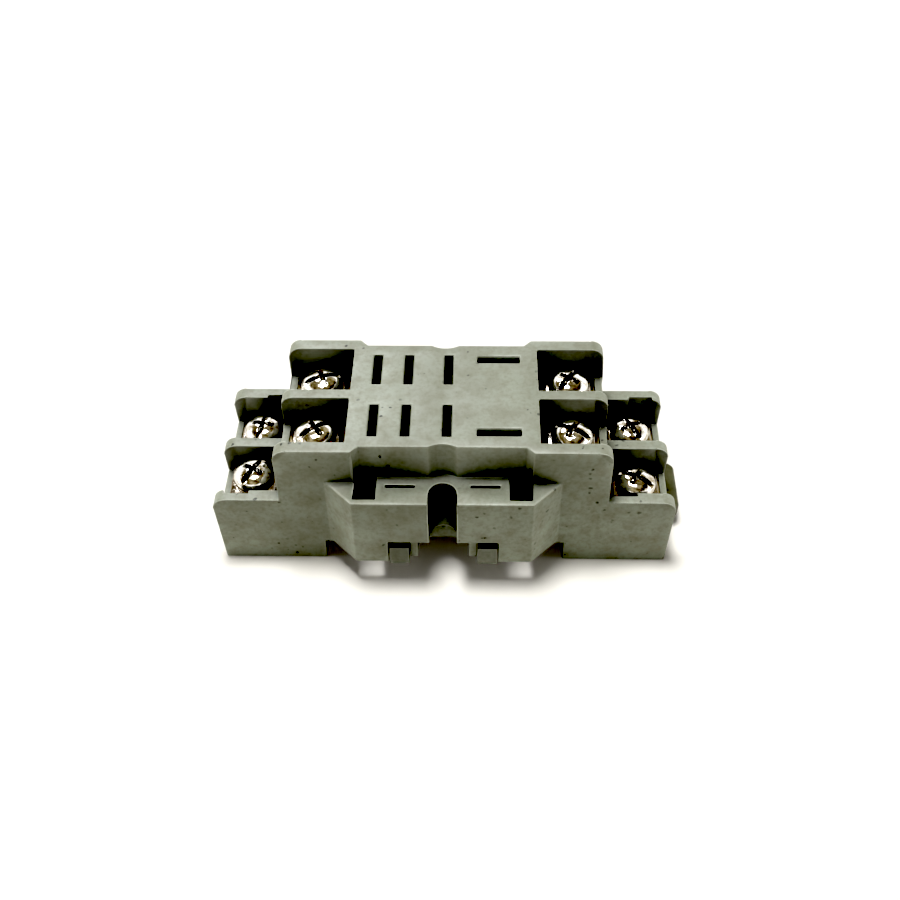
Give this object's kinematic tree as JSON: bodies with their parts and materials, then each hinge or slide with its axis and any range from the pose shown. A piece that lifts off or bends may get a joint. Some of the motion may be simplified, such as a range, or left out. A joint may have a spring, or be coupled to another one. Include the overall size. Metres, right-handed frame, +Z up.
{
  "type": "relay socket",
  "caption": "Low two-level screw-terminal socket for a plug-in relay, with barrier walls, blade slots in a flat deck, screw ears and a rail latch.",
  "frame": {"origin": "middle of the rail channel in the plane the feet stand on", "axes": "+X along the socket towards the rail latch's pull tab, +Y across it along the rail, +Z up out of the deck"},
  "size_m": [0.0703, 0.0322, 0.0236],
  "materials": {
    "housing_plastic": "moulded satin",
    "cover_plastic": "moulded satin",
    "latch_plastic": "moulded satin",
    "terminal_brass": "nickel-tinned, dull",
    "clip_bronze": "bright",
    "clamp_steel": "zinc plated",
    "screw_steel": "zinc plated",
    "spring_steel": "drawn wire"
  },
  "bodies": {
    "socket": {"housing": "housing_plastic", "bottom_cover": "cover_plastic", "latch_spring": "spring_steel", "terminal_strip_1": "terminal_brass", "terminal_strip_2": "terminal_brass", "terminal_strip_3": "terminal_brass", "terminal_strip_4": "terminal_brass", "terminal_strip_5": "terminal_brass", "terminal_strip_6": "terminal_brass", "terminal_strip_7": "terminal_brass", "terminal_strip_8": "terminal_brass", "contact_clip_1": "clip_bronze", "contact_clip_2": "clip_bronze", "contact_clip_3": "clip_bronze", "contact_clip_4": "clip_bronze", "contact_clip_5": "clip_bronze", "contact_clip_6": "clip_bronze", "contact_clip_7": "clip_bronze", "contact_clip_8": "clip_bronze"},
    "clamp_1": {"clamp_washer_1": "clamp_steel"},
    "screw_1": {"terminal_screw_1": "screw_steel"},
    "clamp_2": {"clamp_washer_2": "clamp_steel"},
    "screw_2": {"terminal_screw_2": "screw_steel"},
    "clamp_3": {"clamp_washer_3": "clamp_steel"},
    "screw_3": {"terminal_screw_3": "screw_steel"},
    "clamp_4": {"clamp_washer_4": "clamp_steel"},
    "screw_4": {"terminal_screw_4": "screw_steel"},
    "clamp_5": {"clamp_washer_5": "clamp_steel"},
    "screw_5": {"terminal_screw_5": "screw_steel"},
    "clamp_6": {"clamp_washer_6": "clamp_steel"},
    "screw_6": {"terminal_screw_6": "screw_steel"},
    "clamp_7": {"clamp_washer_7": "clamp_steel"},
    "screw_7": {"terminal_screw_7": "screw_steel"},
    "clamp_8": {"clamp_washer_8": "clamp_steel"},
    "screw_8": {"terminal_screw_8": "screw_steel"},
    "latch": {"din_latch": "latch_plastic"}
  },
  "joints": [
    {"name": "clamp_1_lift", "type": "slide", "parent": "socket", "child": "clamp_1", "axis": [0, 0, 1], "range_m": [0, 0.002]},
    {"name": "screw_1_turn", "type": "hinge", "parent": "clamp_1", "child": "screw_1", "pos_m": [-0.01855, -0.00534, 0.0197], "axis": [0, 0, 1], "range_deg": [0, 1200]},
    {"name": "clamp_2_lift", "type": "slide", "parent": "socket", "child": "clamp_2", "axis": [0, 0, 1], "range_m": [0, 0.002]},
    {"name": "screw_2_turn", "type": "hinge", "parent": "clamp_2", "child": "screw_2", "pos_m": [-0.01855, 0.00534, 0.0197], "axis": [0, 0, 1], "range_deg": [0, 1200]},
    {"name": "clamp_3_lift", "type": "slide", "parent": "socket", "child": "clamp_3", "axis": [0, 0, 1], "range_m": [-0.0011, 0.0009]},
    {"name": "screw_3_turn", "type": "hinge", "parent": "clamp_3", "child": "screw_3", "pos_m": [-0.02875, -0.00534, 0.0096], "axis": [0, 0, 1], "range_deg": [-660, 540]},
    {"name": "clamp_4_lift", "type": "slide", "parent": "socket", "child": "clamp_4", "axis": [0, 0, 1], "range_m": [0, 0.002]},
    {"name": "screw_4_turn", "type": "hinge", "parent": "clamp_4", "child": "screw_4", "pos_m": [-0.02875, 0.00534, 0.0096], "axis": [0, 0, 1], "range_deg": [0, 1200]},
    {"name": "clamp_5_lift", "type": "slide", "parent": "socket", "child": "clamp_5", "axis": [0, 0, 1], "range_m": [0, 0.002]},
    {"name": "screw_5_turn", "type": "hinge", "parent": "clamp_5", "child": "screw_5", "pos_m": [0.01855, -0.00534, 0.0197], "axis": [0, 0, 1], "range_deg": [0, 1200]},
    {"name": "clamp_6_lift", "type": "slide", "parent": "socket", "child": "clamp_6", "axis": [0, 0, 1], "range_m": [0, 0.002]},
    {"name": "screw_6_turn", "type": "hinge", "parent": "clamp_6", "child": "screw_6", "pos_m": [0.01855, 0.00534, 0.0197], "axis": [0, 0, 1], "range_deg": [0, 1200]},
    {"name": "clamp_7_lift", "type": "slide", "parent": "socket", "child": "clamp_7", "axis": [0, 0, 1], "range_m": [0, 0.002]},
    {"name": "screw_7_turn", "type": "hinge", "parent": "clamp_7", "child": "screw_7", "pos_m": [0.02875, -0.00534, 0.0096], "axis": [0, 0, 1], "range_deg": [0, 1200]},
    {"name": "clamp_8_lift", "type": "slide", "parent": "socket", "child": "clamp_8", "axis": [0, 0, 1], "range_m": [0, 0.002]},
    {"name": "screw_8_turn", "type": "hinge", "parent": "clamp_8", "child": "screw_8", "pos_m": [0.02875, 0.00534, 0.0096], "axis": [0, 0, 1], "range_deg": [0, 1200]},
    {"name": "latch_pull", "type": "slide", "parent": "socket", "child": "latch", "axis": [1, 0, 0], "range_m": [0, 0.002], "stiffness_N_per_m": 900, "springref_m": -0.0008, "deforming": ["latch_spring"]}
  ],
  "couplings": [
    {"joint": "screw_1_turn", "follows": "clamp_1_lift", "rad_per_m": 10472},
    {"joint": "screw_2_turn", "follows": "clamp_2_lift", "rad_per_m": 10472},
    {"joint": "screw_3_turn", "follows": "clamp_3_lift", "rad_per_m": 10472},
    {"joint": "screw_4_turn", "follows": "clamp_4_lift", "rad_per_m": 10472},
    {"joint": "screw_5_turn", "follows": "clamp_5_lift", "rad_per_m": 10472},
    {"joint": "screw_6_turn", "follows": "clamp_6_lift", "rad_per_m": 10472},
    {"joint": "screw_7_turn", "follows": "clamp_7_lift", "rad_per_m": 10472},
    {"joint": "screw_8_turn", "follows": "clamp_8_lift", "rad_per_m": 10472}
  ]
}
